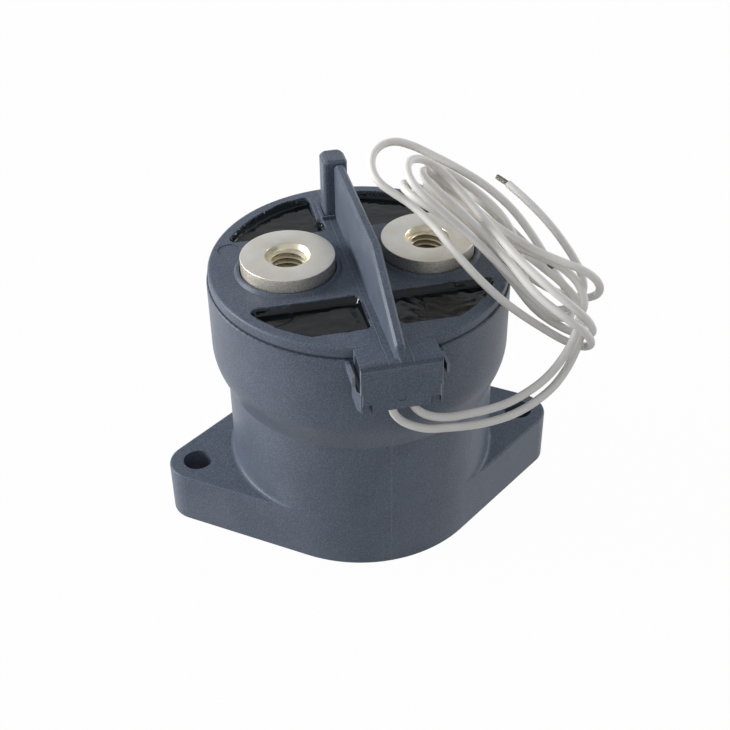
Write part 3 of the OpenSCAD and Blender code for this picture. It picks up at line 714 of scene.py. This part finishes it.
def ripples(x, y, wander):
    """Height of the skin over its level: waves, a swirl in one front window, a pocket in one."""
    swirl_x, swirl_y, swirl_ring = 17, -12, 9
    pocket_x, pocket_y, pocket_radius, pocket_depth = -22.2, -14.4, 3.1, 0.55
    ripple = 0.07 * noise.noise(Vector((x * 0.22, y * 0.3, 7))) \
        + 0.03 * noise.noise(Vector((x * 0.6, y * 0.8, 11)))
    if y < 0 < x:
        from_swirl = math.hypot(x - swirl_x, y - swirl_y + 2 * wander)
        fade = math.exp(-((from_swirl - swirl_ring) / 4) ** 2)
        ripple += 0.07 * math.sin(2.3 * from_swirl) * fade
    from_pocket = math.hypot((x - pocket_x) / 1.6, y - pocket_y)
    return ripple - pocket_depth / (1 + math.exp((from_pocket - pocket_radius) / 0.16))


def potting_skin():
    """The set surface of the potting: rippled in the windows and drawn up the walls round them."""
    level, post_limit, rim_limit = 59.32, 60.2, 60.94
    on_rim, under_rim = 61.06, 60.8
    cells, wide, reach_limit, bore_limit, wall_height = 208, 61, 30, 10.6, 60
    pick_nothing()
    bpy.ops.mesh.primitive_grid_add(x_subdivisions=cells, y_subdivisions=cells, size=wide * MM,
                                    location=(0, 0, level * MM))
    made = named("potting_skin")
    apply_place()
    walls = BVHTree.FromObject(cover, bpy.context.evaluated_depsgraph_get())
    spare = []
    for point in made.data.vertices:
        spot = point.co / MM
        reach = math.hypot(spot.x, spot.y)
        near_bore = math.hypot(abs(spot.x) - terminal_axis, spot.y) < bore_limit
        where, facing, _, gap = walls.find_nearest(Vector((spot.x, spot.y, wall_height)) * MM)
        gap /= MM
        if (point.co - where).to_2d().dot(facing.to_2d()) < 0:
            gap = -gap
        by_post = spot.y > 12 and abs(spot.x) < 8
        if reach > reach_limit or near_bore or gap < (-0.15 if by_post else -0.6):
            spare.append(point.index)
            continue
        wander = noise.noise(Vector((spot.x, spot.y, 3)) * 0.32)
        off_wall = max(gap, 0)
        climb = (1.62 + 0.35 * wander) * math.exp(-off_wall / 0.2) + 0.1 * math.exp(-off_wall / 1.2)
        rise = level + ripples(spot.x, spot.y, wander) + climb
        if by_post:
            rise = min(rise, post_limit)
        elif gap < -0.04:
            rise = on_rim if -gap < 0.12 + 0.55 * wander else under_rim
        elif gap > 0.1:
            rise = min(rise, rim_limit)
        point.co.z = rise * MM
    editing(made)
    bpy.ops.mesh.select_all(action="DESELECT")
    bpy.ops.object.mode_set(mode="OBJECT")
    for k in spare:
        made.data.vertices[k].select = True
    bpy.ops.object.mode_set(mode="EDIT")
    bpy.ops.mesh.delete(type="VERT")
    bpy.ops.object.mode_set(mode="OBJECT")
    bpy.ops.object.shade_smooth()
    thick = made.modifiers.new("thick", "SOLIDIFY")
    thick.thickness, thick.offset = 0.3 * MM, -1
    bpy.ops.object.modifier_apply(modifier="thick")
    settled(made, "black_resin")


potting_skin()


# Studio

def studio():
    """A white floor, air that darkens upwards, and a lamp on each side."""
    pick_nothing()
    bpy.ops.mesh.primitive_plane_add(size=6, location=(0, 0, 0))
    floor = bpy.context.object
    floor.name = "studio_floor"
    f = Finish("studio_floor")
    path = f.node("LightPath", {}, {}, "Is Camera Ray")
    seen = path + Tone(f, path.socket.node.outputs["Is Glossy Ray"])
    seen = (seen + Tone(f, path.socket.node.outputs["Is Transmission Ray"])).least(1)
    f.set(Base_Color=(0.4, 0.4, 0.4, 1), Roughness=0.9, Specular_IOR_Level=0.0)
    white = f.node("Emission", {}, {"Color": (1, 1, 1, 1), "Strength": 1.0})
    mixed = f.node("MixShader", {}, {0: seen * 0.98, 1: Tone(f, f.shader.outputs[0]), 2: white})
    f.tree.links.new(mixed.socket, f.tree.nodes["Material Output"].inputs["Surface"])
    floor.data.materials.append(f.material)

    world = bpy.data.worlds.new("studio_air")
    bpy.context.scene.world = world
    world.use_nodes = True
    air = Nodes(world.node_tree)
    split = air.node("SeparateXYZ", {}, {"Vector": air.node("TexCoord", {}, {}, "Generated")})
    height = Tone(air, split.socket.node.outputs["Z"])
    stops = [(0.0, (0.84, 0.86, 0.88)), (0.3, (0.56, 0.58, 0.6)),
             (0.6, (0.45, 0.47, 0.49)), (1.0, (0.33, 0.35, 0.37))]
    fade = air.node("ValToRGB", {"stops": stops}, {"Fac": height})
    air.tree.links.new(fade.socket, air.tree.nodes["Background"].inputs["Color"])

    aim = Vector((0, 0, 0.04))
    for name, place, wide, watts in (("left_lamp", (-0.8, 0.22, 0.36), 0.35, 7.6),
                                     ("right_lamp", (0.8, 0.25, 0.4), 0.4, 2.2)):
        lamp = bpy.data.lights.new(name, "AREA")
        lamp.shape, lamp.size, lamp.size_y, lamp.energy = "RECTANGLE", wide, wide, watts
        stand = bpy.data.objects.new(name, lamp)
        bpy.context.scene.collection.objects.link(stand)
        stand.location = place
        stand.rotation_euler = (aim - Vector(place)).to_track_quat("-Z", "Y").to_euler()
    bpy.context.scene.view_settings.view_transform = "Standard"


studio()
